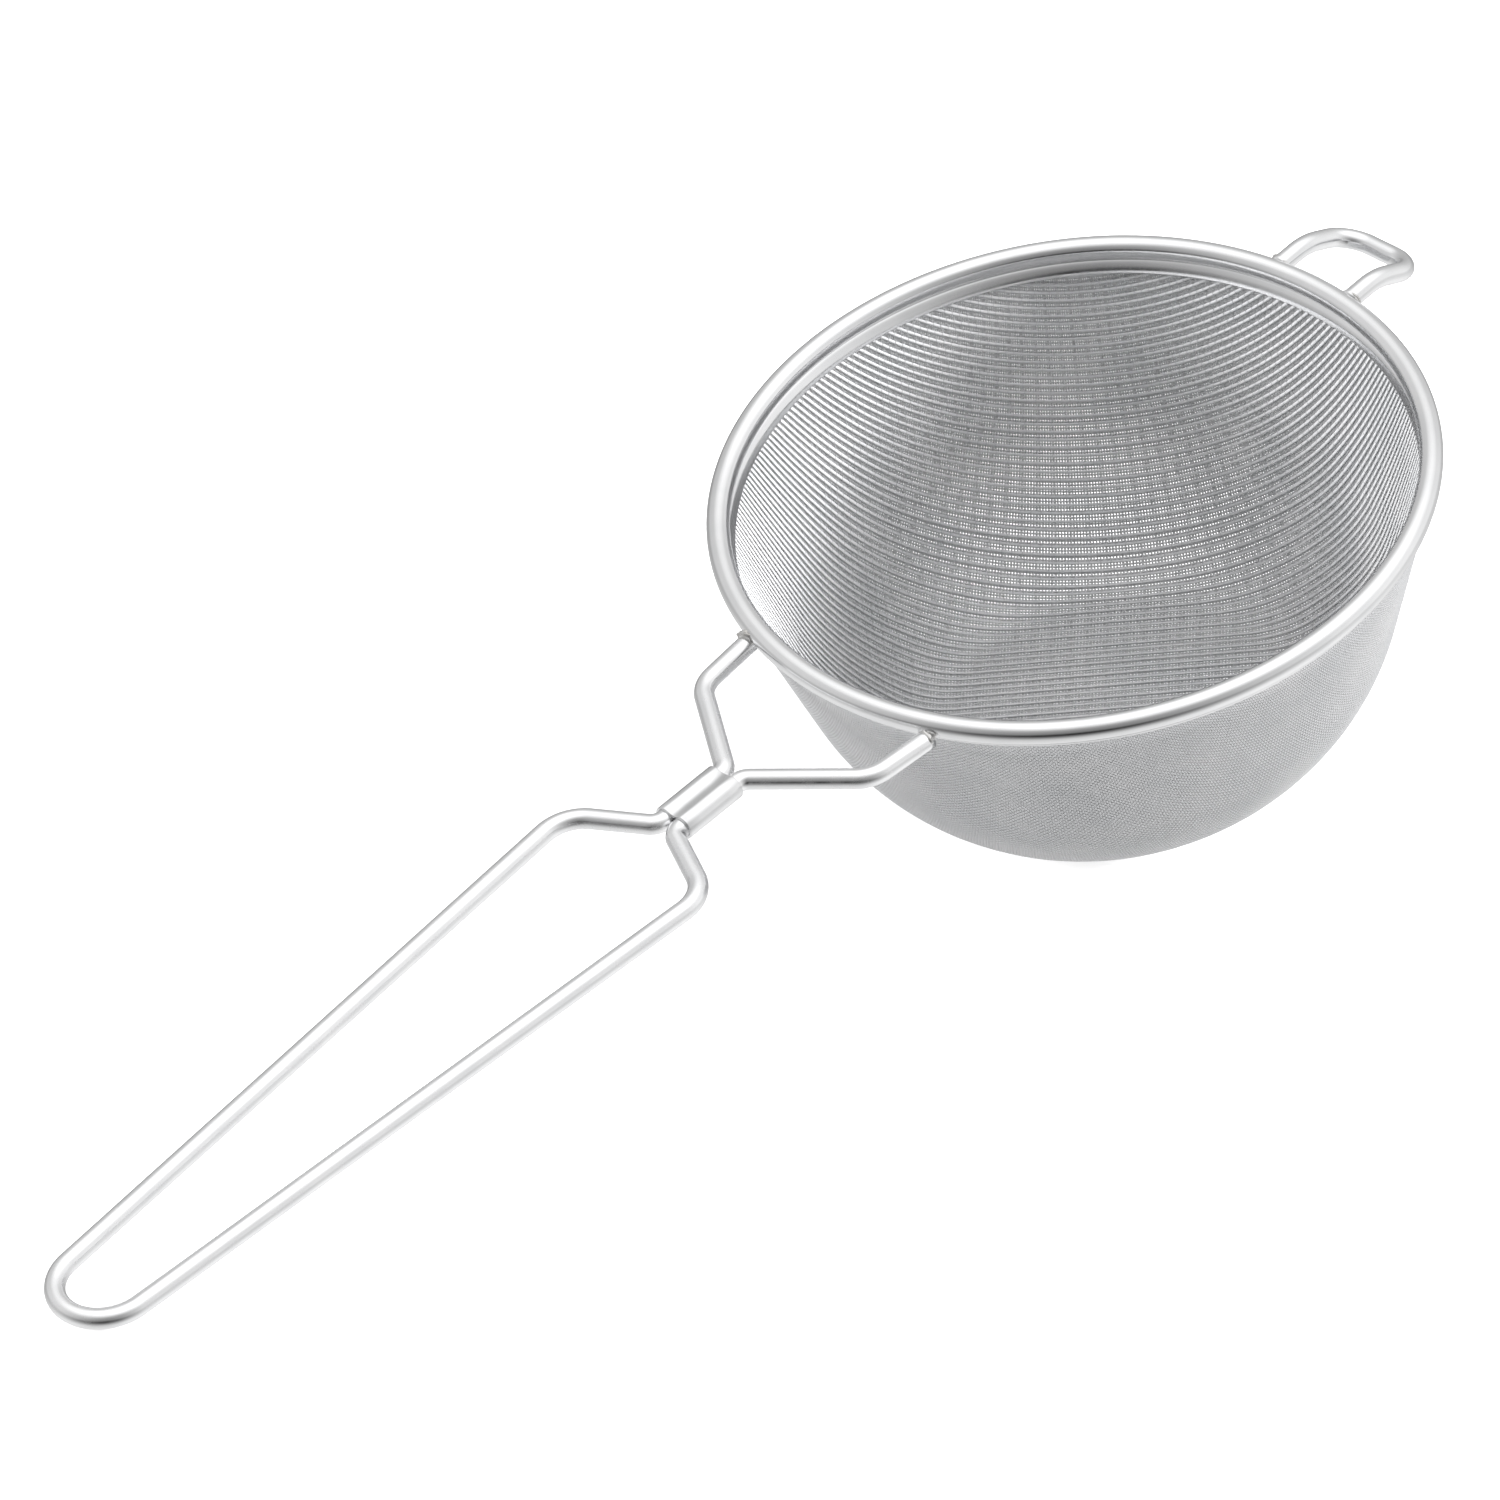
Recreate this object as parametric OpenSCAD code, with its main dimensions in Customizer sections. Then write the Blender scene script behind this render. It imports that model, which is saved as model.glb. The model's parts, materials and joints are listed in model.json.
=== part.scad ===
// Wire-handled tea strainer, resting on a flat surface the way it is put down:
// on the front edge of its flat mesh base and on the loop end of its handle.
//
// Each piece is drawn with the strainer level: the rim in the XY plane, the bowl's axis
// on Z, the handle along -Y and the rest hook along +Y. at_rest() then tips the piece
// onto the surface z = 0, so every node is in the frame of the resting strainer.

/* [Rim] */
// Outside diameter over the rolled rim
rim_d = 100; // [80:1:120]
// Diameter of the wire ring inside the roll
core_d = 2.7; // [2:0.1:3]
// Thickness of the rim's sheet metal
sheet_t = 0.25; // [0.2:0.05:0.4]
// How far the inside leg of the sheet hangs below the middle of the roll
inner_leg = 3.6; // [3:0.1:5]
// How far the outside leg of the sheet hangs below the middle of the roll
outer_leg = 2.3; // [2:0.1:4]

/* [Bowl] */
// Depth of the bowl, from the middle of the roll to the outside of the base
bowl_depth = 44; // [40:0.5:48]
// Lean of the bowl's side from upright, in degrees
side_lean = 17.6; // [14:0.2:20]
// Radius of the large round that turns the side inwards
side_round = 39; // [34:0.5:44]
// Radius of the small round that turns it into the flat base
foot_round = 11; // [8:0.5:14]
// Slope from level, in degrees, where the large round meets the small one
foot_slope = 42; // [36:1:48]
// Thickness of solid metal that weighs as much as the fine inner cloth
fine_t = 0.12; // [0.1:0.01:0.2]
// Thickness of solid metal that weighs as much as the backing cloth outside it
backing_t = 0.18; // [0.12:0.01:0.3]
// Room for both cloths between the two legs of the rim's sheet
cloth_room = 0.6; // [0.5:0.05:0.8]

/* [Handle] */
// Diameter of the handle wire and of the hook wire
wire_d = 2.8; // [2.4:0.1:3]
// Distance from the bowl's axis to the far end of the handle loop
handle_reach = 192; // [160:0.5:210]
// Rise of the handle away from the rim, in degrees
handle_rise = 1.4; // [0.5:0.1:5]
// Drop of the handle wire's middle below the roll's middle, at the rim
handle_drop = 1.3; // [1:0.1:2]
// Half the distance between the two arms at the rim
arm_x = 16.5; // [14:0.1:18]
// Half width of the handle at its shoulders, to the middle of the wire
shoulder_x = 13.1; // [11:0.1:15]
// Radius of the loop's round end, to the middle of the wire
end_r = 6.6; // [5:0.1:8]
// Length of the crimped clip
clip_len = 10; // [8:0.2:11]
// Thickness of the clip's sheet metal
clip_t = 0.4; // [0.3:0.05:0.5]

/* [Hook] */
// Half the distance between the middles of the hook's two legs
hook_x = 6.4; // [5.8:0.1:7]
// Length of the hook's straight legs, from the rim's outside
hook_leg = 2.5; // [1:0.1:5]
// How far the hook's end is bent down, in degrees
hook_bend = 27; // [15:1:50]
// Length of the straight between that bend and the hook's round corners
hook_tip = 2.5; // [1:0.1:5]

/* [Hidden] */

$fn = 96;
section_fn = 32;                // sides of a wire's round section
gap = 0.02;                     // air between pieces that lie against each other

rim_r = rim_d / 2;
wire_r = wire_d / 2;
core_r = core_d / 2;
roll_in = core_r + gap;         // inside of the rolled sheet
roll_out = roll_in + sheet_t;   // outside of the rolled sheet
roll_c = rim_r - roll_out;      // bowl's axis to the middle of the roll

steel = [0.80, 0.81, 0.82];
polished = [0.88, 0.89, 0.90];
cloth = [0.62, 0.63, 0.64];
bead = [0.55, 0.55, 0.56];

// ---- Outline of the bowl: leaning side, large round, small round, flat base ----

side_c = roll_c + 0.5;                      // the cloths run up just outside the roll's middle
side_out = side_c + cloth_room / 2;        // where the cloth's outside would meet z = 0
side_slope = 90 - side_lean;
turn_z = -bowl_depth + foot_round * (1 - cos(foot_slope));   // the two rounds meet here
side_z = turn_z + side_round * cos(foot_slope);              // centre of the large round
side_end_z = side_z - side_round * cos(side_slope);          // foot of the straight side
side_end_r = side_out + side_end_z * tan(side_lean);
round_c = side_end_r - side_round * sin(side_slope);         // centre of the large round
foot_r = round_c + (side_round - foot_round) * sin(foot_slope);   // edge of the flat base

function arc(c, r, from, to, steps) =
    [for (i = [0:steps]) let (a = from + (to - from) * i / steps) c + r * [sin(a), -cos(a)]];

// The bowl's outside, moved inwards by d, from the axis to the middle of the roll.
function bowl_outline(d) = concat(
    [[0, -bowl_depth + d]],
    arc([foot_r, -bowl_depth + foot_round], foot_round - d, 0, foot_slope, 10),
    arc([round_c, side_z], side_round - d, foot_slope, side_slope, 18),
    [[side_out - d / cos(side_lean), 0]],
    [[0, 0]]
);

// ---- Handle's end and hook's end, in the plane x = 0 of the level strainer ----

// The handle lies in a plane that rises from the rim. y is the distance along that plane.
end_y = handle_reach - wire_r;             // middle of the wire at the loop's end
end_out = rim_r + (end_y - rim_r) * cos(handle_rise);
end_up = (end_y - rim_r) * sin(handle_rise) - handle_drop;

hook_bend_r = 9;                           // the legs' bend down, to the wire's middle
hook_corner_r = 4.3;                       // the bar's round corners, to the wire's middle
hook_turn_y = rim_r + hook_leg;            // where the legs start to bend down
hook_end = hook_tip + hook_corner_r;       // from that bend to the bar's middle
bar_out = hook_turn_y + hook_bend_r * sin(hook_bend) + hook_end * cos(hook_bend);
bar_down = hook_bend_r * (1 - cos(hook_bend)) + hook_end * sin(hook_bend);

// ---- Rest pose: the foot's round and the end of the handle touch the surface ----

rest_run = end_out - foot_r;
rest_rise = end_up + bowl_depth - foot_round;
rest_span = norm([rest_run, rest_rise]);
tilt = atan2(rest_rise, rest_run) + asin((foot_round - wire_r) / rest_span);
lift = foot_round + foot_r * sin(tilt) + (bowl_depth - foot_round) * cos(tilt);

// Middle of the strainer's length at rest, which becomes y = 0
hook_side = bar_out * cos(tilt) + bar_down * sin(tilt) + wire_r;
handle_side = end_out * cos(tilt) + end_up * sin(tilt) + wire_r;
mid_y = (hook_side - handle_side) / 2;

module at_rest() {
    translate([0, -mid_y, lift]) rotate([tilt, 0, 0]) children();
}

// ---- Wire along corners: straight stretches and true arcs between them ----

// Neighbouring stretches stop short of each other by seam, and a thin disc a hair wider
// than the wire joins them, so that no two surfaces only graze each other.
seam = 0.05;
disc_half = 0.12;                // half the disc's thickness
disc_extra = 0.03;

// The disc at a point of the XY plane, square to the direction along.
module disc(at, along, radius) {
    translate([at[0], at[1], 0]) rotate([0, 0, atan2(along[1], along[0])]) rotate([0, 90, 0])
        cylinder(r = radius + disc_extra, h = 2 * disc_half, center = true, $fn = section_fn);
}

function turn(a, b, c) =
    let (u = (b - a) / norm(b - a), v = (c - b) / norm(c - b)) atan2(u[0] * v[1] - u[1] * v[0], u * v);
function setback(p, r, i) =
    (i <= 0 || i >= len(p) - 1) ? 0 : r[i] * tan(abs(turn(p[i - 1], p[i], p[i + 1])) / 2);

// From a to b, shortened at each end by from and to.
module straight(a, b, from, to, radius) {
    u = (b - a) / norm(b - a);
    start = a + u * from;
    translate([start[0], start[1], 0]) rotate([0, 0, atan2(u[1], u[0])]) rotate([0, 90, 0])
        cylinder(r = radius, h = norm(b - a) - from - to, $fn = section_fn);
}

// An arc about Z from angle 0 to sweep, short by seam at each end.
module bent(r, sweep, radius) {
    short = seam / r * 180 / PI;
    rotate([0, 0, short]) rotate_extrude(angle = sweep - 2 * short)
        translate([r, 0]) circle(r = radius, $fn = section_fn);
}

// The arc of radius r at corner b of the corners a, b, c, with a disc at each end.
module corner(a, b, c, r, radius) {
    u = (b - a) / norm(b - a);
    v = (c - b) / norm(c - b);
    t = turn(a, b, c);
    side = t > 0 ? 1 : -1;
    back = r * tan(abs(t) / 2);
    start = b - u * back;
    finish = b + v * back;
    centre = start + side * r * [-u[1], u[0]];
    from = atan2(start[1] - centre[1], start[0] - centre[0]);
    translate([centre[0], centre[1], 0]) rotate([0, 0, side > 0 ? from : from + t])
        bent(r, abs(t), radius);
    disc(start, u, radius);
    disc(finish, v, radius);
}

module wire(p, r, radius) {
    last = len(p) - 1;
    for (i = [0:last - 1])
        straight(p[i], p[i + 1], setback(p, r, i) + (i > 0 ? seam : 0), setback(p, r, i + 1) + seam, radius);
    for (i = [1:last - 1]) corner(p[i - 1], p[i], p[i + 1], r[i], radius);
}

// ---- Rim ----

// The roll as a solid ring, grown by g, for coping what meets it.
module roll_ring(g) {
    rotate_extrude($fn = 360) translate([roll_c, 0]) circle(r = roll_out + g, $fn = 64);
}

// A strip of sheet of the side's lean, between two leaning lines that meet z = 0 at in_r and out_r.
module strip(in_r, out_r, top, bottom) {
    k = tan(side_lean);
    polygon([[in_r - top * k, -top], [out_r - top * k, -top], [out_r - bottom * k, -bottom],
        [in_r - bottom * k, -bottom]]);
}

// One strip of sheet, rolled over the core ring, with a leg down each side of the cloths.
module rim_band() {
    room = cloth_room / cos(side_lean);
    leg_w = sheet_t / cos(side_lean);
    in_r = side_out - room;
    leg_top = roll_in + sheet_t / 2;           // the legs start inside the roll's wall
    color(polished) {
        rotate_extrude() difference() {
            translate([roll_c, 0]) circle(r = roll_out, $fn = 64);
            translate([roll_c, 0]) circle(r = roll_in, $fn = 64);
            strip(in_r - gap, side_out + gap, roll_in / 2, roll_out + 1);
        }
        rotate_extrude() strip(in_r - leg_w, in_r, leg_top - sheet_t, inner_leg);
        rotate_extrude() strip(side_out, side_out + leg_w, leg_top, outer_leg);
    }
}

module rim_core_ring() {
    color(steel) rotate_extrude() translate([roll_c, 0]) circle(r = core_r, $fn = 48);
}

// ---- Cloth ----

cloth_top = core_r + 0.25;                     // depth of the cloths' edge, just under the core ring

module shell(outer_d, inner_d) {
    rotate_extrude() difference() {
        polygon(bowl_outline(outer_d));
        polygon(bowl_outline(inner_d));
        translate([0, -cloth_top]) square([rim_r, cloth_top + 1]);
    }
}

module backing_mesh() {
    color(cloth) shell(cloth_room / 2 - backing_t, cloth_room / 2);
}

module fine_mesh() {
    color(cloth) shell(cloth_room / 2 + gap, cloth_room / 2 + gap + fine_t);
}

// ---- Handle ----

pair_x = wire_r + disc_extra + gap / 2;        // half the distance between the wires in the clip
arm_end = [arm_x, rim_r - 3];
arm_bend = [arm_x - 0.9, rim_r + 7.2];
clip_in = [pair_x, rim_r + 17.4];
clip_out = [pair_x, rim_r + 30.4];
shoulder = [shoulder_x, rim_r + 36.5];
arm_radii = [0, 5, 2.4, 2.2, 6, 0];            // bend radii at the corners, to the wire's middle
clip_mid = (clip_in[1] + clip_out[1]) / 2;

// The rail touches the loop's end circle.
end_c = end_y - end_r;
rail_span = norm([shoulder_x, end_c - shoulder[1]]);
rail_lean = asin(shoulder_x / rail_span) - asin(end_r / rail_span);
rail_end = [end_r * cos(rail_lean), end_c + end_r * sin(rail_lean)];

// In the handle's own plane, with y away from the rim. It rises from the rim.
module handle_plane() {
    translate([0, -rim_r, -handle_drop]) rotate([-handle_rise, 0, 0]) mirror([0, 1, 0])
        translate([0, -rim_r, 0]) children();
}

module handle_wire() {
    color(polished) difference() {
        handle_plane() {
            for (side = [0, 1]) mirror([side, 0, 0]) {
                wire([arm_end, arm_bend, clip_in, clip_out, shoulder, rail_end], arm_radii, wire_r);
                disc(rail_end, rail_end - shoulder, wire_r);
            }
            translate([0, end_c, 0]) rotate([0, 0, rail_lean]) bent(end_r, 180 - 2 * rail_lean, wire_r);
        }
        roll_ring(gap);
    }
}

// Two round bars side by side, of radius r, with a flat web of half height web between them.
module bar_pair(r, web, length) {
    for (side = [-1, 1]) translate([side * pair_x, 0, 0])
        cylinder(r = r, h = length, center = true, $fn = 48);
    cube([2 * pair_x, 2 * web, length], center = true);
}

// A sleeve pressed round the two wires, with a shallow groove along each face.
module handle_clip() {
    groove = 0.35;
    inside_web = wire_r - groove;
    color(polished) handle_plane() translate([0, clip_mid, 0]) rotate([90, 0, 0]) difference() {
        bar_pair(wire_r + clip_t, inside_web + clip_t, clip_len);
        bar_pair(wire_r + gap, inside_web, clip_len + 1);
    }
}

weld_length = 2.4;                             // of a weld along its wire
weld_thin = 0.1;                               // thickness of its thin end
weld_start = 1.4;                              // how far inside the rim's outside it starts

// A cone of weld metal round a wire along +Y, its wide end at y = 0 and wide thick.
module weld_cone(wide) {
    hole = wire_r + gap;
    rotate([-90, 0, 0]) rotate_extrude()
        polygon([[hole, 0], [hole + wide, 0], [hole + weld_thin, weld_length], [hole, weld_length]]);
}

module handle_welds() {
    color(bead) difference() {
        handle_plane() for (side = [-1, 1]) translate([side * arm_x, arm_end[1], 0])
            weld_cone(0.8);
        roll_ring(gap);
    }
}

// ---- Rest hook ----

module hook_leg_line(radius) {
    translate([0, rim_r - roll_out, 0]) rotate([-90, 0, 0])
        cylinder(r = radius, h = hook_leg + roll_out - seam, $fn = section_fn);
}

// From the end of the legs' bend: children are drawn in the bent-down plane.
module hook_end_plane() {
    translate([0, hook_turn_y, -hook_bend_r]) rotate([-hook_bend, 0, 0])
        translate([0, 0, hook_bend_r]) children();
}

// Two level legs, bent down together and joined by a bar with round corners.
module rest_hook() {
    bar = hook_x - hook_corner_r;
    color(polished) difference() {
        union() {
            for (side = [0, 1]) mirror([side, 0, 0]) {
                translate([hook_x, 0, 0]) {
                    hook_leg_line(wire_r);
                    disc([0, hook_turn_y], [0, 1], wire_r);
                    translate([0, hook_turn_y, -hook_bend_r]) rotate([90, 0, 90])
                        rotate([0, 0, 90 - hook_bend]) bent(hook_bend_r, hook_bend, wire_r);
                }
                hook_end_plane() {
                    disc([hook_x, 0], [0, 1], wire_r);
                    straight([hook_x, 0], [hook_x, hook_tip], seam, seam, wire_r);
                    disc([hook_x, hook_tip], [0, 1], wire_r);
                    translate([bar, hook_tip, 0]) bent(hook_corner_r, 90, wire_r);
                    disc([bar, hook_end], [1, 0], wire_r);
                }
            }
            hook_end_plane() straight([-bar, hook_end], [bar, hook_end], seam, seam, wire_r);
        }
        roll_ring(gap);
    }
}

module hook_welds() {
    color(bead) difference() {
        for (side = [-1, 1]) translate([side * hook_x, rim_r - weld_start, 0]) weld_cone(0.9);
        roll_ring(gap);
    }
}

at_rest() rim_band();
at_rest() rim_core_ring();
at_rest() fine_mesh();
at_rest() backing_mesh();
at_rest() handle_wire();
at_rest() handle_clip();
at_rest() handle_welds();
at_rest() rest_hook();
at_rest() hook_welds();
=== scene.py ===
import json
import math

import bpy
import numpy as np
from mathutils import Matrix, Vector


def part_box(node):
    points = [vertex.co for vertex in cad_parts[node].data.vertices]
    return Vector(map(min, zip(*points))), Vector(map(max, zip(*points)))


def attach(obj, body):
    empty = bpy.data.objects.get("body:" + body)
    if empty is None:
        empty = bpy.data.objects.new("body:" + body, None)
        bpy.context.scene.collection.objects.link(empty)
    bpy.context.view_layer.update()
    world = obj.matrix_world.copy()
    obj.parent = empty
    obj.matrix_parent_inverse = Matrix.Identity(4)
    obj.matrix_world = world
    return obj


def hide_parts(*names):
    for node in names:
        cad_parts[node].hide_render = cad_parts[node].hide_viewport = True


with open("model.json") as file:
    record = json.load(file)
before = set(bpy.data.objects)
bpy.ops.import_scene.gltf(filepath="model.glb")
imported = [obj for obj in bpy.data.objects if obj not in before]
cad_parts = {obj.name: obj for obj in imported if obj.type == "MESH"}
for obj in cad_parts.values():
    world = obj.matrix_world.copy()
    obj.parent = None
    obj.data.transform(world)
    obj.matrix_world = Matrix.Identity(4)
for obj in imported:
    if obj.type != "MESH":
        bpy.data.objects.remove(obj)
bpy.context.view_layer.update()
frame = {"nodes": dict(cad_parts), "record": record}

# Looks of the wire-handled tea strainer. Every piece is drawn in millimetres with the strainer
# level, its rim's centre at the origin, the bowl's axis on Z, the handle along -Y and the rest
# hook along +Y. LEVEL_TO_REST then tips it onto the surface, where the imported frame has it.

MM = 0.001

# ---- Places taken from the frame ----

mounts = {mount["name"]: mount for mount in frame["record"]["mounts"]}
rim_centre = Vector(mounts["rim_seat"]["pos_m"])
up = -Vector(mounts["rim_seat"]["axis"]).normalized()
rim_low, rim_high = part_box("rim_band")
RIM_R = (rim_high.x - rim_low.x) / 2 / MM
BOWL_DEPTH = (Vector(mounts["base_face"]["pos_m"]) - rim_centre).length / MM

across = Vector((1, 0, 0))
along = up.cross(across)
LEVEL_TO_REST = Matrix.Translation(rim_centre) @ Matrix((across, along, up)).transposed().to_4x4()

# ---- Driving dimensions, in millimetres, with angles given in degrees ----

SHEET = 0.25                # thickness of the rim's sheet
ROLL_IN = 1.37              # inside radius of the roll round its core ring
ROLL_MID = ROLL_IN + SHEET / 2
ROLL_C = RIM_R - ROLL_IN - SHEET
INNER_LEG = 3.1             # depth of the two legs of the sheet below the roll's middle
OUTER_LEG = 2.1
BULGE = 0.85                # how far the inner leg rounds out over the cloth's edge
TUCK = 0.35                 # how far the outer leg is tucked in under the roll
LEG_OVERLAP = 0.06          # how far above the roll's lowest point the legs leave it
RIM_SEGMENTS = 320
SIDE_LEAN = math.radians(17.6)    # of the bowl's side, from upright
SIDE_ROUND = 39.0           # radius of the large round that turns the side inwards
FOOT_ROUND = 11.0           # radius of the small round that turns it into the flat base
FOOT_SLOPE = math.radians(42)     # from level, where the two rounds meet
CLOTH_ROOM = 0.6            # between the two legs
CLOTH_SHIFT = 0.5           # how far that room's middle lies outside the roll's middle
CLOTH_TOP = -1.8            # height of the cloth's edge
SIDE_OUT = ROLL_C + CLOTH_SHIFT + CLOTH_ROOM / 2

WIRE_R = 1.4                # of the handle and of the hook
HANDLE_RISE = math.radians(1.4)   # of the handle's plane, away from the rim
HANDLE_DROP = 1.3           # of the handle wire below the roll's middle, at the rim
HANDLE_REACH = 192.0        # from the bowl's axis to the far end of the loop
ARM_X = 16.5                # half the distance between the arms at the rim
ARM_PULL = 0.9              # how far an arm leans inwards before its bend
SHOULDER_X = 13.1           # half width at the shoulders
END_R = 6.6                 # round end of the loop, to the middle of the wire
PAIR_X = WIRE_R + 0.04      # half the distance between the two wires in the clip
CORNER_RADII = [5, 2.4, 2.2, 6]   # at the arm, at both ends of the neck, at the shoulder
PRESS_LENGTH = 7            # of each flattened end of the handle wire
PRESS_WIDER = 0.06          # share added to its width
PRESS_FLATTER = 0.12        # share by which it is then thinner than wide

# Places along the handle, from the rim's outside.
ARM_INSET = 3               # inwards: where the wire starts
ARM_BEND = 7.2
NECK_START = 17.4
NECK_END = 30.4
SHOULDER = 36.5

CLIP_LENGTH = 10.0
CLIP_SHEET = 0.4
CLIP_AIR = 0.02             # between the wire and the clip
CLIP_GROOVE = 0.35          # depth of the groove between the wires
CLIP_EDGE = 0.1             # rounding of the clip's ends
CLIP_MIDDLE = RIM_R + 23.9  # halfway along the neck

HOOK_X = 6.4                # half the distance between the hook's legs
HOOK_LEG = 2.5              # straight length out of the rim
HOOK_BEND = math.radians(27)      # how far the hook's end is bent down
HOOK_BEND_R = 9.0
HOOK_TIP = 2.5              # straight between that bend and the corner
HOOK_CORNER_R = 4.3
HOOK_START = ROLL_C + 0.6   # where its legs begin, inside the roll
WIRE_SIDES = 32

ROW_PITCH = 1.17            # the inner cloth's thick wires
FINE_PITCH = 0.39           # its thin wires
BACKING_PITCH = 0.46        # both ways of the backing cloth
ROW_R = 0.23
ROW_FLAT = 0.5              # thickness as a share of width: the wires are pressed flat
THIN_R = 0.04
BACKING_R = 0.185
BACKING_FLAT = 0.45
INNER_LIFT = 3.4            # height of the inner cloth's underside, in half backing wires
CLOTH_TURN = math.radians(41.0)   # the thick wires' direction, from X
PRESS_START = -5.4          # height at which the cloth begins to thin, towards the rim
PRESS_RUN = 1.8             # height over which it thins
PRESSED_BY = 0.5            # share of its thickness that it loses

# ---- Meshes ----


def add_piece(name, points, faces, material, replaced):
    """A smooth piece from level points in millimetres and faces of four corners each."""
    mesh = bpy.data.meshes.new(name)
    faces = np.asarray(faces, np.int32)
    mesh.vertices.add(len(points))
    mesh.vertices.foreach_set("co", (np.asarray(points) * MM).astype(np.float32).ravel())
    mesh.loops.add(faces.size)
    mesh.loops.foreach_set("vertex_index", faces.ravel())
    mesh.polygons.add(len(faces))
    mesh.polygons.foreach_set("loop_start", np.arange(0, faces.size, 4, dtype=np.int32))
    mesh.update(calc_edges=True)
    mesh.transform(LEVEL_TO_REST)
    mesh.shade_smooth()
    mesh.materials.append(material)
    piece = bpy.data.objects.new(name, mesh)
    bpy.context.scene.collection.objects.link(piece)
    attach(piece, "root")
    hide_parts(*replaced)


def unit(vectors):
    return vectors / np.linalg.norm(vectors, axis=-1, keepdims=True)


def joined(parts):
    """Several (points, faces) as one."""
    starts = np.cumsum([0] + [len(points) for points, _ in parts[:-1]])
    points = np.concatenate([points for points, _ in parts])
    faces = np.concatenate([faces + start for (_, faces), start in zip(parts, starts)])
    return points, faces


def loft(rings, closed=False):
    """Faces between neighbouring rings of points, with flat ends unless the rings close on
    themselves. rings is an array of ring by point by XYZ."""
    count, sides = rings.shape[:2]
    here = np.arange(sides)
    beside = (here + 1) % sides
    ring = np.arange(count if closed else count - 1)[:, None]
    following = (ring + 1) % count
    walls = np.stack([ring * sides + here, ring * sides + beside,
                      following * sides + beside, following * sides + here], -1).reshape(-1, 4)
    if closed:
        return rings.reshape(-1, 3), walls
    first = [(0, i + 2, i + 1, i) for i in range(1, sides - 2, 2)]
    far = (count - 1) * sides
    last = [(far, far + i, far + i + 1, far + i + 2) for i in range(1, sides - 2, 2)]
    return rings.reshape(-1, 3), np.concatenate([walls, first, last])


def tube(path, normals, radius, sides, flatness=1.0):
    """A wire along path. Its section is radius wide, and flatness times that along normals."""
    path = np.asarray(path, float)
    tangent = unit(np.gradient(path, axis=0))
    sideways = unit(np.cross(tangent, normals))
    normal = np.cross(sideways, tangent)
    turn = (np.arange(sides) + 0.5) * 2 * math.pi / sides
    radius = np.broadcast_to(radius, len(path))[:, None, None]
    flatness = np.broadcast_to(flatness, len(path))[:, None, None]
    rings = (path[:, None] + radius * flatness * np.cos(turn)[:, None] * normal[:, None]
             + radius * np.sin(turn)[:, None] * sideways[:, None])
    return loft(rings)


def revolved(profile, segments):
    """A closed profile of (r, z) points turned about Z."""
    turn = np.linspace(0, 2 * math.pi, segments, endpoint=False)[:, None]
    r, z = profile[:, 0], profile[:, 1]
    return loft(np.stack([r * np.cos(turn), r * np.sin(turn), z + 0 * turn], -1), closed=True)


def bent_path(corners, radii, step=1.0):
    """Points along straight stretches between corners, each corner rounded to its radius."""
    corners = [np.asarray(c, float) for c in corners]
    path = [corners[0]]
    for before, corner, after, radius in zip(corners, corners[1:], corners[2:], radii):
        inward, outward = unit(corner - before), unit(after - corner)
        half_turn = math.acos(np.clip(inward @ outward, -1, 1)) / 2
        bisector = unit(outward - inward)
        centre = corner + bisector * radius / math.cos(half_turn)
        start = corner - inward * radius * math.tan(half_turn)
        steps = max(6, int(4 * half_turn / math.radians(8)))
        for i in range(steps + 1):
            angle = 2 * half_turn * i / steps
            path.append(centre + (start - centre) * math.cos(angle) + inward * radius * math.sin(angle))
    path.append(corners[-1])
    return evenly(np.array(path), step)


def evenly(path, step):
    """The same path with extra points, so that none are further apart than step."""
    out = [path[:1]]
    for a, b in zip(path, path[1:]):
        count = max(1, math.ceil(np.linalg.norm(b - a) / step))
        out.append(a + (b - a) * np.arange(1, count + 1)[:, None] / count)
    return np.concatenate(out)


def carried(path, first_normal):
    """A normal at each point of path, carried along it without twisting."""
    tangent = unit(np.gradient(path, axis=0))
    normals = [np.asarray(first_normal, float)]
    for t in tangent[1:]:
        normals.append(unit(normals[-1] - t * (normals[-1] @ t)))
    return np.array(normals)


# ---- Materials ----


def new_material(name, colour, roughness):
    """A metal with its plain values set. Returns the material, its node tree and its shader."""
    material = bpy.data.materials.new(name)
    material.use_nodes = True
    tree = material.node_tree
    shader = tree.nodes["Principled BSDF"]
    shader.inputs["Metallic"].default_value = 1.0
    shader.inputs["Base Color"].default_value = (*colour, 1)
    shader.inputs["Roughness"].default_value = roughness
    return material, tree, shader


def noise(tree, scale, stretch=(1, 1, 1), detail=3.0):
    """Noise in object space, scale cycles a metre, squeezed along each axis by stretch."""
    place = tree.nodes.new("ShaderNodeTexCoord")
    mapping = tree.nodes.new("ShaderNodeMapping")
    mapping.inputs["Scale"].default_value = stretch
    texture = tree.nodes.new("ShaderNodeTexNoise")
    texture.inputs["Scale"].default_value = scale
    texture.inputs["Detail"].default_value = detail
    tree.links.new(place.outputs["Object"], mapping.inputs["Vector"])
    tree.links.new(mapping.outputs["Vector"], texture.inputs["Vector"])
    return texture.outputs["Fac"]


def spread(tree, value, low, high, start=0.3, stop=0.7):
    """value from start to stop, stretched to run from low to high."""
    node = tree.nodes.new("ShaderNodeMapRange")
    node.interpolation_type = "SMOOTHSTEP"
    node.inputs["From Min"].default_value = start
    node.inputs["From Max"].default_value = stop
    node.inputs["To Min"].default_value = low
    node.inputs["To Max"].default_value = high
    tree.links.new(value, node.inputs["Value"])
    return node.outputs["Result"]


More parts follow.
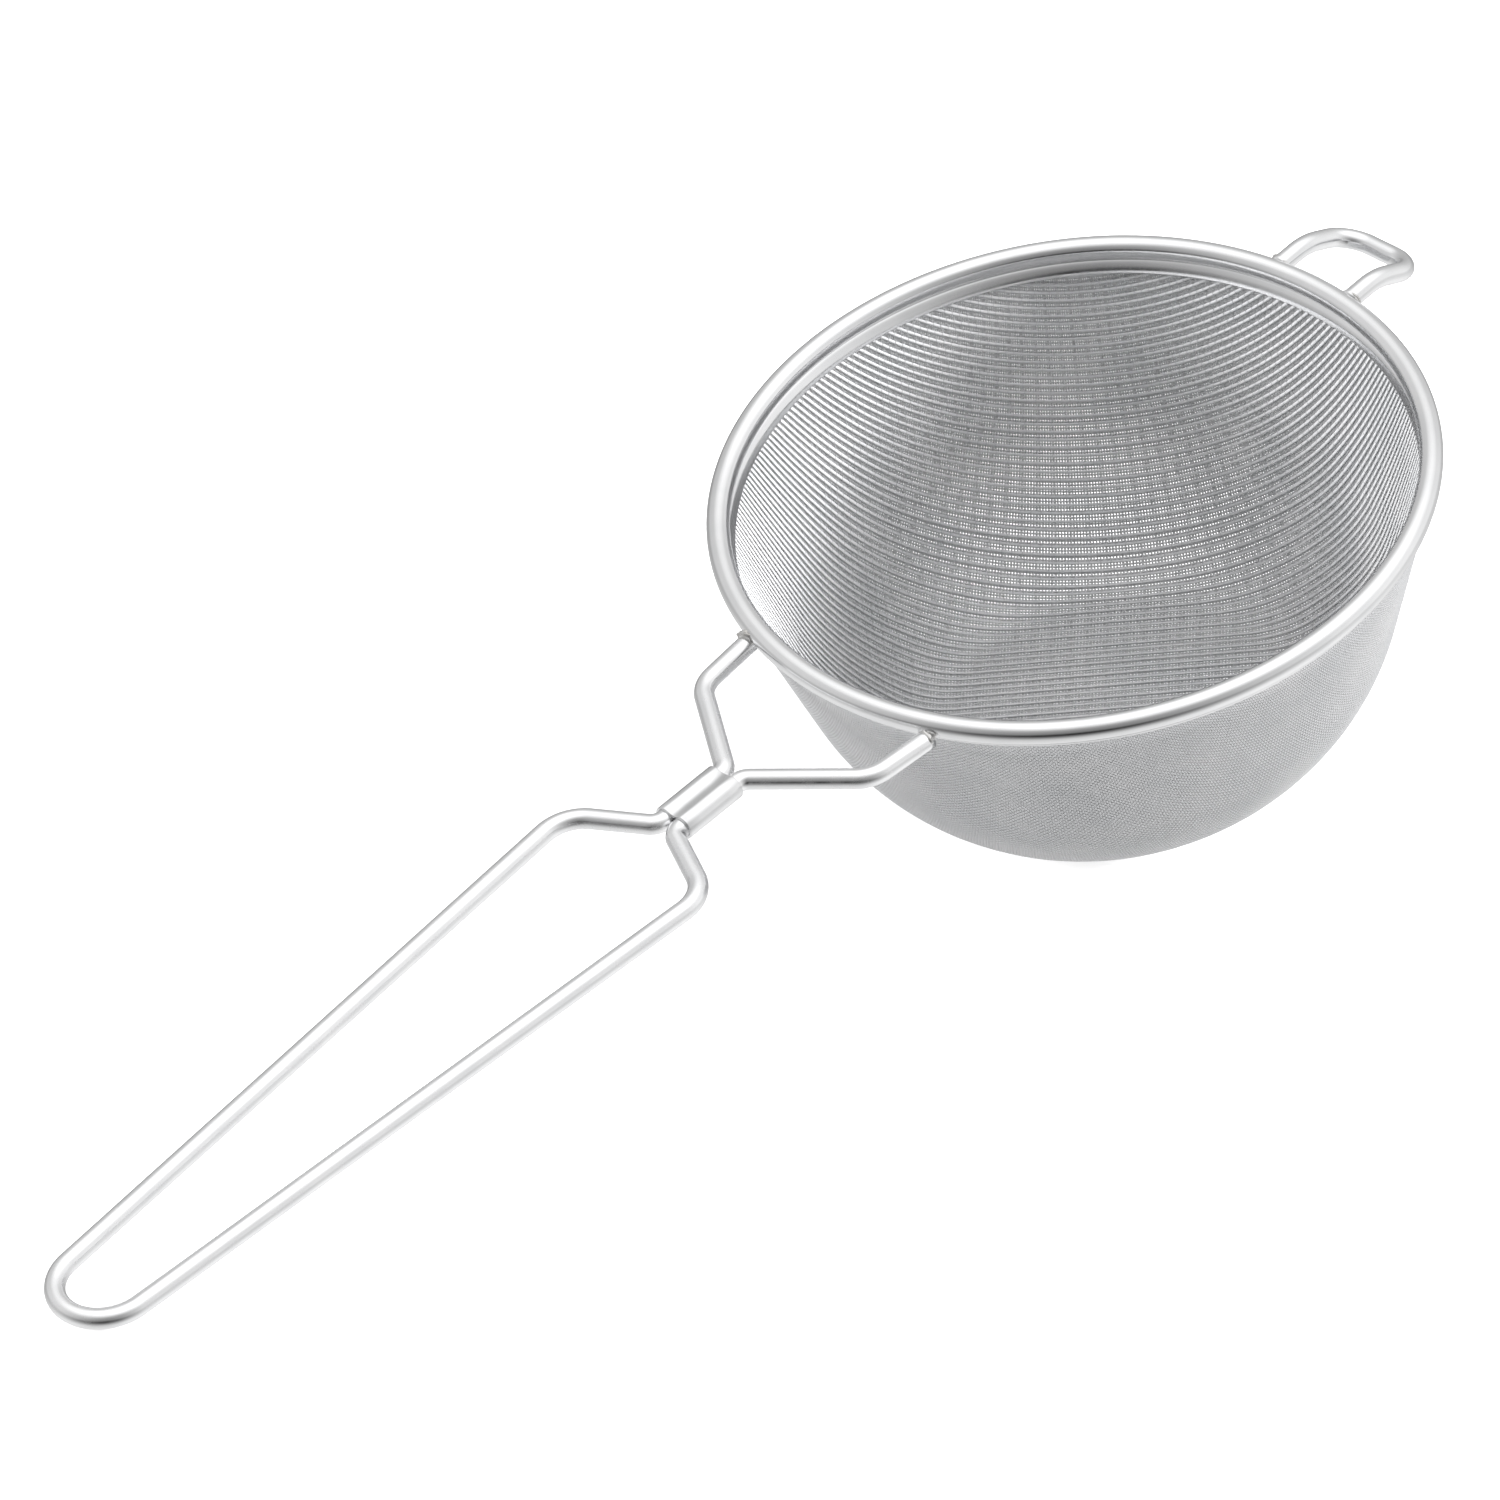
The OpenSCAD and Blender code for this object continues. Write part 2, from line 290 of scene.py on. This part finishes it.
def tint(tree, value, dark, light):
    """A colour from dark to light as value goes from 0 to 1."""
    ramp = tree.nodes.new("ShaderNodeValToRGB")
    ramp.color_ramp.elements[0].position = 0.3
    ramp.color_ramp.elements[0].color = (*dark, 1)
    ramp.color_ramp.elements[1].position = 0.7
    ramp.color_ramp.elements[1].color = (*light, 1)
    tree.links.new(value, ramp.inputs["Fac"])
    return ramp.outputs["Color"]


def bump(tree, shader, height, strength, distance):
    node = tree.nodes.new("ShaderNodeBump")
    node.inputs["Strength"].default_value = strength
    node.inputs["Distance"].default_value = distance
    tree.links.new(height, node.inputs["Height"])
    tree.links.new(node.outputs["Normal"], shader.inputs["Normal"])


def polished_steel(name, grey, roughness, grain=(1, 1, 1)):
    """Polished stainless steel: faint cloudiness, uneven gloss and fine polishing lines."""
    light = (grey, grey, grey * 1.005)
    dark = (grey * 0.94, grey * 0.945, grey * 0.955)
    material, tree, shader = new_material(name, light, roughness)
    tree.links.new(tint(tree, noise(tree, 160), dark, light), shader.inputs["Base Color"])
    gloss = spread(tree, noise(tree, 420, detail=5), roughness * 0.75, roughness * 1.35)
    tree.links.new(gloss, shader.inputs["Roughness"])
    bump(tree, shader, noise(tree, 5200, grain, detail=4), 0.12, 0.00002)
    return material


def cloth_steel(name, grey, roughness, metallic=0.6):
    """Fine drawn wire, duller than the polished parts, with slow changes of tone."""
    light = (grey, grey, grey * 1.01)
    dark = (grey * 0.9, grey * 0.91, grey * 0.925)
    material, tree, shader = new_material(name, light, roughness)
    shader.inputs["Metallic"].default_value = metallic
    tree.links.new(tint(tree, noise(tree, 90), dark, light), shader.inputs["Base Color"])
    gloss = spread(tree, noise(tree, 700), roughness * 0.85, roughness * 1.2)
    tree.links.new(gloss, shader.inputs["Roughness"])
    return material


def weld_steel(name):
    """Weld metal brushed clean: pitted, with a trace of straw and blue left by the heat."""
    material, tree, shader = new_material(name, (0.7, 0.69, 0.67), 0.3)
    warm = tint(tree, noise(tree, 900), (0.60, 0.585, 0.56), (0.86, 0.86, 0.86))
    tree.links.new(warm, shader.inputs["Base Color"])
    tree.links.new(spread(tree, noise(tree, 2600), 0.18, 0.42), shader.inputs["Roughness"])
    bump(tree, shader, noise(tree, 3000, detail=5), 0.5, 0.00008)
    return material


RIM_STEEL = polished_steel("rim_steel", 0.91, 0.13)
HANDLE_STEEL = polished_steel("handle_steel", 0.96, 0.22, grain=(1, 0.06, 1))
CLIP_STEEL = polished_steel("clip_steel", 0.86, 0.17, grain=(1, 0.08, 1))
HOOK_STEEL = polished_steel("hook_steel", 0.90, 0.15, grain=(1, 0.1, 1))
CORE_STEEL = polished_steel("core_steel", 0.80, 0.25)
ROW_STEEL = cloth_steel("row_steel", 0.74, 0.6, metallic=0.5)
FINE_STEEL = cloth_steel("fine_steel", 0.60, 0.6)
BACKING_STEEL = cloth_steel("backing_steel", 0.68, 0.45, metallic=0.85)
WELD_STEEL = weld_steel("weld_steel")

# ---- Rim ----


def rim_profile():
    """The sheet's closed outline: up the inner leg, round the roll and down the outer leg."""
    lean = math.tan(SIDE_LEAN)
    half = SHEET / 2 / math.cos(SIDE_LEAN)
    outer_x = SIDE_OUT + half
    inner_x = SIDE_OUT - CLOTH_ROOM / math.cos(SIDE_LEAN) - half

    def leg(x, depth):
        return np.array([x - depth * lean, -depth])

    def swell(depth):
        left = (INNER_LEG - depth) / (INNER_LEG - meets)
        return BULGE * math.sqrt(1 - left ** 2)

    meets = ROLL_MID - LEG_OVERLAP
    turn_in, turn_out = leg(inner_x, meets), leg(outer_x - TUCK, meets)
    centre = np.array([ROLL_C, 0])
    start = math.atan2(*(turn_in - centre)[::-1])
    stop = math.atan2(*(turn_out - centre)[::-1])
    around = np.linspace(start % (2 * math.pi), stop, 26)
    angles = around[3:]         # a straight bit joins the inner leg to the roll
    roll = centre + ROLL_MID * np.stack([np.cos(angles), np.sin(angles)], -1)
    depths = INNER_LEG - (INNER_LEG - meets) * np.sin(np.linspace(0, math.pi / 2, 9)[:-1])
    inner = [leg(inner_x - swell(depth), depth) for depth in depths]
    outer = [leg(outer_x - TUCK * (1 - t) ** 2, meets + t * (OUTER_LEG - meets))
             for t in (0.15, 0.4, 0.7, 1)]
    line = softened(np.concatenate([inner, roll, outer]), times=2)
    tangent = unit(np.gradient(line, axis=0))
    side = np.stack([-tangent[:, 1], tangent[:, 0]], -1) * SHEET / 2
    end = np.linspace(0, math.pi, 5)[1:-1, None]
    first = line[0] + np.cos(end) * -side[0] - np.sin(end) * tangent[0] * SHEET / 2
    last = line[-1] + np.cos(end) * side[-1] + np.sin(end) * tangent[-1] * SHEET / 2
    return np.concatenate([line + side, last, (line - side)[::-1], first])


def softened(line, times):
    """Corners of an open line cut, ends kept."""
    for _ in range(times):
        a, b = line[:-1], line[1:]
        cut = np.stack([0.75 * a + 0.25 * b, 0.25 * a + 0.75 * b], 1).reshape(-1, line.shape[1])
        line = np.concatenate([line[:1], cut, line[-1:]])
    return line


points, faces = revolved(rim_profile(), RIM_SEGMENTS)
add_piece("rim_band_rolled", points, faces, RIM_STEEL, ["rim_band"])
frame["nodes"]["rim_core_ring"].material_slots[0].material = CORE_STEEL

# ---- Cloth ----


def bowl_profile(steps=400):
    """The bowl's outside from the middle of the base to the rim: arc length, r, z and slope."""
    side_slope = math.pi / 2 - SIDE_LEAN
    turn_z = -BOWL_DEPTH + FOOT_ROUND * (1 - math.cos(FOOT_SLOPE))
    side_z = turn_z + SIDE_ROUND * math.cos(FOOT_SLOPE)
    side_end_z = side_z - SIDE_ROUND * math.cos(side_slope)
    side_end_r = SIDE_OUT + side_end_z * math.tan(SIDE_LEAN)
    round_c = side_end_r - SIDE_ROUND * math.sin(side_slope)
    foot_r = round_c + (SIDE_ROUND - FOOT_ROUND) * math.sin(FOOT_SLOPE)
    small = np.linspace(0, FOOT_SLOPE, steps)
    large = np.linspace(FOOT_SLOPE, side_slope, steps)[1:]
    side = np.linspace(side_end_z, CLOTH_TOP, steps)[1:]
    base = np.linspace(0, foot_r, steps)[:-1]
    r = np.concatenate([base, foot_r + FOOT_ROUND * np.sin(small),
                        round_c + SIDE_ROUND * np.sin(large), SIDE_OUT + side * math.tan(SIDE_LEAN)])
    z = np.concatenate([base * 0 - BOWL_DEPTH, FOOT_ROUND * (1 - np.cos(small)) - BOWL_DEPTH,
                        side_z - SIDE_ROUND * np.cos(large), side])
    slope = np.concatenate([base * 0, small, large, side * 0 + side_slope])
    s = np.concatenate([[0], np.cumsum(np.hypot(np.diff(r), np.diff(z)))])
    return s, r, z, slope


PROFILE_S, PROFILE_R, PROFILE_Z, PROFILE_SLOPE = bowl_profile()
EDGE_S = PROFILE_S[-1]


def squeezed(z):
    """How much of its thickness the cloth keeps: the rim's legs press its edge together."""
    t = np.clip((z - PRESS_START) / PRESS_RUN, 0, 1)
    return 1 - PRESSED_BY * t * t * (3 - 2 * t)


def on_bowl(u, v):
    """Where the cloth's own place (u, v), measured along it, lies on the bowl's outside.
    Pressing draws the cloth straight down the slope from the middle of the base, so a place
    keeps its direction from there and its distance along the slope. Returns the points, their
    inward normals and the share of its thickness that the cloth keeps there."""
    s = np.hypot(u, v)
    direction = np.arctan2(v, u) + CLOTH_TURN
    away = np.stack([np.cos(direction), np.sin(direction)], -1)
    r = np.interp(s, PROFILE_S, PROFILE_R)
    z = np.interp(s, PROFILE_S, PROFILE_Z)
    slope = np.interp(s, PROFILE_S, PROFILE_SLOPE)
    points = np.concatenate([r[..., None] * away, z[..., None]], -1)
    normals = np.concatenate([-np.sin(slope)[..., None] * away, np.cos(slope)[..., None]], -1)
    return points, normals, squeezed(z)


def plain_wave(phase):
    """Over one wire and under the next."""
    return np.cos(math.pi * phase)


def twill_wave(phase):
    """Over one wire and under the next three."""
    near = np.abs((phase + 2) % 4 - 2)
    return np.where(near < 1, np.cos(math.pi * near), -1)


def draped(line, pitch, cross_pitch, finer, height, wave, radius, sides, along_u, weaving, flat):
    """The wire number line of one way of a cloth, out to the cloth's round edge. It crosses
    wires cross_pitch apart, with finer points for each, and waves about height by wave."""
    place = line * pitch
    reach = math.sqrt(EDGE_S ** 2 - place ** 2)
    shortest = 0.05             # of the last stretch, at the cloth's edge
    count = int((reach - shortest) / cross_pitch * finer)
    index = np.arange(-count, count + 1) / finer
    index = np.concatenate([[-reach / cross_pitch], index, [reach / cross_pitch]])
    run = index * cross_pitch
    beside = np.full_like(run, place)
    point, normal, share = on_bowl(*((run, beside) if along_u else (beside, run)))
    lift = share * (height + wave * weaving(index + line))
    return tube(point + normal * lift[:, None], normal, radius, sides, flatness=share * flat)


def weave(pitch, *shape, along_u, weaving=plain_wave, flat=1.0):
    """All the wires of one way of a cloth, pitch apart, apart from those cut very short. shape
    is what draped() takes after the pitch."""
    edge_room = 1
    last = int((EDGE_S - edge_room) / pitch)
    return [draped(line, pitch, *shape, along_u=along_u, weaving=weaving, flat=flat)
            for line in range(-last, last + 1)]


def add_cloth(name, wires, pieces, material, node):
    """The wires of one way, as a few pieces side by side."""
    sizes = np.cumsum([len(faces) for _, faces in wires])
    share = np.minimum(sizes * pieces // (sizes[-1] + 1), pieces - 1)
    for i in range(pieces):
        points, faces = joined([wire for wire, piece in zip(wires, share) if piece == i])
        add_piece(f"{name}_{i + 1}", points, faces, material, [node])


step = BACKING_R * BACKING_FLAT
for name, wave, along_u in (("backing_weft", step, True), ("backing_warp", -step, False)):
    wires = weave(BACKING_PITCH, BACKING_PITCH, 1, 2 * step, wave, BACKING_R, 4,
                  along_u=along_u, flat=BACKING_FLAT)
    add_cloth(name, wires, 4, BACKING_STEEL, "backing_mesh")

# The inner cloth's underside is a little below the tops of the backing's wires, at 4 steps.
inner_middle = INNER_LIFT * step + ROW_R * ROW_FLAT
rows = weave(ROW_PITCH, FINE_PITCH, 0.5, inner_middle, 0, ROW_R, 8, along_u=True, flat=ROW_FLAT)
add_cloth("strainer_rows", rows, 2, ROW_STEEL, "fine_mesh")
over = ROW_R * ROW_FLAT + THIN_R * 0.5
thin = weave(FINE_PITCH, ROW_PITCH, 3, inner_middle, over, THIN_R, 4,
             along_u=False, weaving=twill_wave)
add_cloth("strainer_warp", thin, 6, FINE_STEEL, "fine_mesh")

# ---- Handle ----


def from_handle_plane(points):
    """Handle-plane points, with y away from the rim, in the level strainer."""
    x, y, z = points[:, 0], points[:, 1] - RIM_R, points[:, 2]
    c, s = math.cos(HANDLE_RISE), math.sin(HANDLE_RISE)
    return np.stack([x, z * s - y * c - RIM_R, y * s + z * c - HANDLE_DROP], -1)


def handle_corners():
    """Corners of the handle wire from its right end to the tip of its loop."""
    end_c = HANDLE_REACH - WIRE_R - END_R
    shoulder = (SHOULDER_X, RIM_R + SHOULDER)
    span = math.hypot(SHOULDER_X, end_c - shoulder[1])
    lean = math.asin(SHOULDER_X / span) - math.asin(END_R / span)
    return [(ARM_X, RIM_R - ARM_INSET), (ARM_X - ARM_PULL, RIM_R + ARM_BEND),
            (PAIR_X, RIM_R + NECK_START), (PAIR_X, RIM_R + NECK_END), shoulder,
            (0, end_c + END_R / math.sin(lean))]


def handle_wire():
    """The wire round the whole handle, pressed a little flat at both ends for its welds."""
    right = handle_corners()
    left = [(-x, y) for x, y in right[-2::-1]]
    corners = [(x, y, 0) for x, y in right + left]
    path = bent_path(corners, CORNER_RADII + [END_R] + CORNER_RADII[::-1])
    length = np.concatenate([[0], np.cumsum(np.linalg.norm(np.diff(path, axis=0), axis=1))])
    from_end = np.minimum(length, length[-1] - length)
    pressed = np.clip(1 - from_end / PRESS_LENGTH, 0, 1) ** 2
    normals = np.tile([0.0, 0.0, 1.0], (len(path), 1))
    points, faces = tube(path, normals, WIRE_R * (1 + PRESS_WIDER * pressed), WIRE_SIDES,
                         1 - PRESS_FLATTER * pressed)
    add_piece("handle_wire_bent", from_handle_plane(points), faces, HANDLE_STEEL,
              ["handle_wire"])


def clip_outline(radius, web, count=72):
    """Outline of the sleeve: a round over each wire and a shallow groove between them."""
    angle = np.linspace(0, math.pi / 2, count // 6)
    side = np.stack([PAIR_X + radius * np.sin(angle[::-1]), radius * np.cos(angle[::-1])], -1)
    t = np.linspace(1, 0, count // 6)[1:]
    groove = np.stack([PAIR_X * t, radius - (radius - web) * (1 - t ** 2) ** 1.5], -1)
    quarter = np.concatenate([side, groove])
    half = np.concatenate([quarter, (quarter * [-1, 1])[-2::-1]])
    return np.concatenate([half, (half * [1, -1])[-2:0:-1]])


def handle_clip():
    """The sleeve: rings from one end to the other outside, and back through the inside."""
    inside_r = WIRE_R + CLIP_AIR
    outside_r = inside_r + CLIP_SHEET - CLIP_AIR

    def ring(radius, web, y):
        outline = clip_outline(radius, web)
        return np.stack([outline[:, 0], np.full(len(outline), y), outline[:, 1]], -1)

    start, stop = CLIP_MIDDLE - CLIP_LENGTH / 2, CLIP_MIDDLE + CLIP_LENGTH / 2
    web_out, web_in = outside_r - CLIP_GROOVE, inside_r - CLIP_GROOVE
    partway = CLIP_EDGE * 0.3
    outer = [(outside_r - CLIP_EDGE, web_out - CLIP_EDGE, start),
             (outside_r - partway, web_out - partway, start + partway),
             (outside_r, web_out, start + CLIP_EDGE)]
    outer += [(outside_r, web_out, start + (stop - start) * t) for t in (0.25, 0.5, 0.75)]
    outer += [(radius, web, start + stop - y) for radius, web, y in outer[2::-1]]
    inner = [(inside_r, web_in, stop), (inside_r, web_in, start)]
    points, faces = loft(np.array([ring(*place) for place in outer + inner]), closed=True)
    add_piece("handle_clip_pressed", from_handle_plane(points), faces, CLIP_STEEL,
              ["handle_clip"])


handle_wire()
handle_clip()

# ---- Rest hook ----


def rest_hook():
    """Two legs out of the roll, bent down together and joined by a bar with round corners."""
    turn_y = RIM_R + HOOK_LEG
    c, s = math.cos(HOOK_BEND), math.sin(HOOK_BEND)
    bend_y = turn_y + HOOK_BEND_R * math.tan(HOOK_BEND / 2)
    rest = HOOK_TIP + HOOK_CORNER_R + HOOK_BEND_R * math.tan(HOOK_BEND / 2)
    bar_y, bar_z = bend_y + rest * c, -rest * s
    right = [(HOOK_X, HOOK_START, 0), (HOOK_X, bend_y, 0), (HOOK_X, bar_y, bar_z)]
    left = [(-x, y, z) for x, y, z in right[::-1]]
    path = bent_path(right + left, [HOOK_BEND_R, HOOK_CORNER_R, HOOK_CORNER_R, HOOK_BEND_R],
                     step=0.6)
    points, faces = tube(path, carried(path, (1, 0, 0)), WIRE_R, WIRE_SIDES)
    add_piece("rest_hook_bent", points, faces, HOOK_STEEL, ["rest_hook"])


rest_hook()

# ---- Welds ----


def weld_bead(centre, size, seed, count=28):
    """An uneven bead: a round lump of three half sizes with low waves over it."""
    wave_height = 0.05
    rng = np.random.default_rng(seed)
    polar = np.linspace(0, math.pi, count)[:, None]
    turn = np.linspace(0, 2 * math.pi, 2 * count, endpoint=False)[None]
    ball = np.stack([np.sin(polar) * np.cos(turn), np.sin(polar) * np.sin(turn),
                     np.cos(polar) + 0 * turn], -1)
    waves = sum(wave_height * np.sin(ball @ rng.normal(0, 3, 3) + rng.uniform(0, 6))
                for _ in range(5))
    rings = centre + ball * (1 + waves)[..., None] * size
    rings[0], rings[-1] = rings[0].mean(0), rings[-1].mean(0)
    return loft(rings)


def welds(name, beads, node):
    points, faces = joined([weld_bead(*bead) for bead in beads])
    add_piece(name, points, faces, WELD_STEEL, [node])


BEAD_PROUD = 0.1            # how far a bead's middle lies outside the rim
ARM_BEAD = np.array([1.4, 0.8, 1.0])
HOOK_BEAD = np.array([1.8, 0.7, 1.5])
HOOK_BEAD_HEIGHT = -0.2

weld_y = math.sqrt(RIM_R ** 2 - ARM_X ** 2)
welds("handle_weld_beads", [
    (np.array([side * ARM_X, -weld_y - BEAD_PROUD, height]), ARM_BEAD, seed)
    for side, height, seed in ((-1, -0.35, 3), (1, -0.9, 8))], "handle_welds")
hook_y = math.sqrt(RIM_R ** 2 - HOOK_X ** 2)
welds("hook_weld_beads", [
    (np.array([side * HOOK_X, hook_y + BEAD_PROUD, HOOK_BEAD_HEIGHT]), HOOK_BEAD, seed)
    for side, seed in ((-1, 5), (1, 12))], "hook_welds")

# ---- Camera, floor and lights, in metres ----

# The view comes from a fit to the photo.
CAMERA_AZIMUTH = math.radians(42.85)
CAMERA_ELEVATION = math.radians(32.15)
CAMERA_ROLL = math.radians(2.32)
CAMERA_DISTANCE = 1.5515
CAMERA_LENS = 282.1         # in millimetres
AIM = Vector((-0.00013, -0.00017, 0.033))

FLOOR_HALF = 6.0
FLOOR_GLOW = 0.7            # light that the floor gives off itself
LIGHT_TARGET = (0, 0, 0.05)
LIGHT_SIZE = (1.0, 0.5)

# How light the studio is at each height, from straight down (0) to straight up (1). Heights
# 0.1 to 0.895, but for 0.50, are the middles of bands of 15 degrees. Their levels started close
# to the brightness of the photo's rim where it mirrors those bands, and were then changed.
STUDIO_LEVELS = [
    (0.0, 0.66), (0.1, 0.62), (0.31, 0.24), (0.43, 0.12), (0.50, 0.18), (0.57, 0.29),
    (0.69, 0.33), (0.80, 0.42), (0.895, 0.74), (0.95, 1.0), (1.0, 1.0)]
STUDIO_STRENGTH = 1.22
LIGHTER_BEYOND = 0.15       # added towards the rest hook's side, and taken off opposite
LIGHTER_ASIDE = 0.40        # added at both sides of the camera's view


def add_camera():
    data = bpy.data.cameras.new("camera")
    data.lens = CAMERA_LENS
    data.clip_end = 50
    camera = bpy.data.objects.new("camera", data)
    flat = math.cos(CAMERA_ELEVATION)
    back = Vector((math.sin(CAMERA_AZIMUTH) * flat, -math.cos(CAMERA_AZIMUTH) * flat,
                   math.sin(CAMERA_ELEVATION)))
    camera.location = AIM + back * CAMERA_DISTANCE
    turn = back.to_track_quat("Z", "Y").to_matrix() @ Matrix.Rotation(CAMERA_ROLL, 3, "Z")
    camera.rotation_euler = turn.to_euler()
    bpy.context.scene.collection.objects.link(camera)
    bpy.context.scene.camera = camera


def add_floor():
    mesh = bpy.data.meshes.new("floor")
    half = FLOOR_HALF
    corners = [(-half, -half, 0), (half, -half, 0), (half, half, 0), (-half, half, 0)]
    mesh.from_pydata(corners, [], [(0, 1, 2, 3)])
    material = bpy.data.materials.new("floor_white")
    material.use_nodes = True
    shader = material.node_tree.nodes["Principled BSDF"]
    shader.inputs["Base Color"].default_value = (0.5, 0.5, 0.5, 1)
    shader.inputs["Roughness"].default_value = 0.7
    shader.inputs["Emission Color"].default_value = (1, 1, 1, 1)
    shader.inputs["Emission Strength"].default_value = FLOOR_GLOW
    mesh.materials.append(material)
    floor = bpy.data.objects.new("floor", mesh)
    floor.visible_glossy = False
    bpy.context.scene.collection.objects.link(floor)


def add_softbox(name, place, power):
    """A soft light that lights the strainer without showing in its reflections."""
    data = bpy.data.lights.new(name, "AREA")
    data.shape = "RECTANGLE"
    data.size, data.size_y = LIGHT_SIZE
    data.energy = power
    light = bpy.data.objects.new(name, data)
    light.location = place
    light.rotation_euler = (Vector(place) - Vector(LIGHT_TARGET)).to_track_quat("Z", "Y").to_euler()
    light.visible_glossy = False
    bpy.context.scene.collection.objects.link(light)


def maths(tree, operation, first, second):
    """A Math node's value from one socket and from another socket or a number."""
    node = tree.nodes.new("ShaderNodeMath")
    node.operation = operation
    tree.links.new(first, node.inputs[0])
    if isinstance(second, float):
        node.inputs[1].default_value = second
    else:
        tree.links.new(second, node.inputs[1])
    return node.outputs["Value"]


def towards(tree, direction, aim):
    """How far a direction of the surroundings points along aim, times aim's length."""
    node = tree.nodes.new("ShaderNodeVectorMath")
    node.operation = "DOT_PRODUCT"
    node.inputs[1].default_value = aim
    tree.links.new(direction, node.inputs[0])
    return node.outputs["Value"]


def by_height(tree, direction):
    """STUDIO_LEVELS at the height of a direction."""
    split = tree.nodes.new("ShaderNodeSeparateXYZ")
    height = tree.nodes.new("ShaderNodeMapRange")
    height.inputs["From Min"].default_value = -1
    ramp = tree.nodes.new("ShaderNodeValToRGB")
    elements = ramp.color_ramp.elements
    while len(elements) < len(STUDIO_LEVELS):
        elements.new(0.5)
    for element, (position, level) in zip(elements, STUDIO_LEVELS):
        element.position = position
        element.color = (level, level, level, 1)
    tree.links.new(direction, split.inputs["Vector"])
    tree.links.new(split.outputs["Z"], height.inputs["Value"])
    tree.links.new(height.outputs["Result"], ramp.inputs["Fac"])
    return ramp.outputs["Color"]


def add_surroundings():
    """A plain studio: white overhead, light grey below and darker grey around, lighter beyond
    the rest hook and at both sides of the camera's view."""
    world = bpy.data.worlds.new("studio")
    bpy.context.scene.world = world
    world.use_nodes = True
    tree = world.node_tree
    direction = tree.nodes.new("ShaderNodeTexCoord").outputs["Generated"]
    beyond = towards(tree, direction, (0, LIGHTER_BEYOND, 0))
    aside = towards(tree, direction, (math.cos(CAMERA_AZIMUTH), math.sin(CAMERA_AZIMUTH), 0))
    panels = maths(tree, "MULTIPLY", maths(tree, "MULTIPLY", aside, aside), LIGHTER_ASIDE)
    total = maths(tree, "ADD", by_height(tree, direction), maths(tree, "ADD", panels, beyond))
    background = tree.nodes["Background"]
    tree.links.new(total, background.inputs["Color"])
    background.inputs["Strength"].default_value = STUDIO_STRENGTH


add_camera()
add_floor()
add_surroundings()
add_softbox("right_light", (1.5, 1.4, 1.08), 190)
add_softbox("left_light", (-1.6, -1.5, 0.55), 120)
bpy.context.scene.view_settings.view_transform = "Standard"
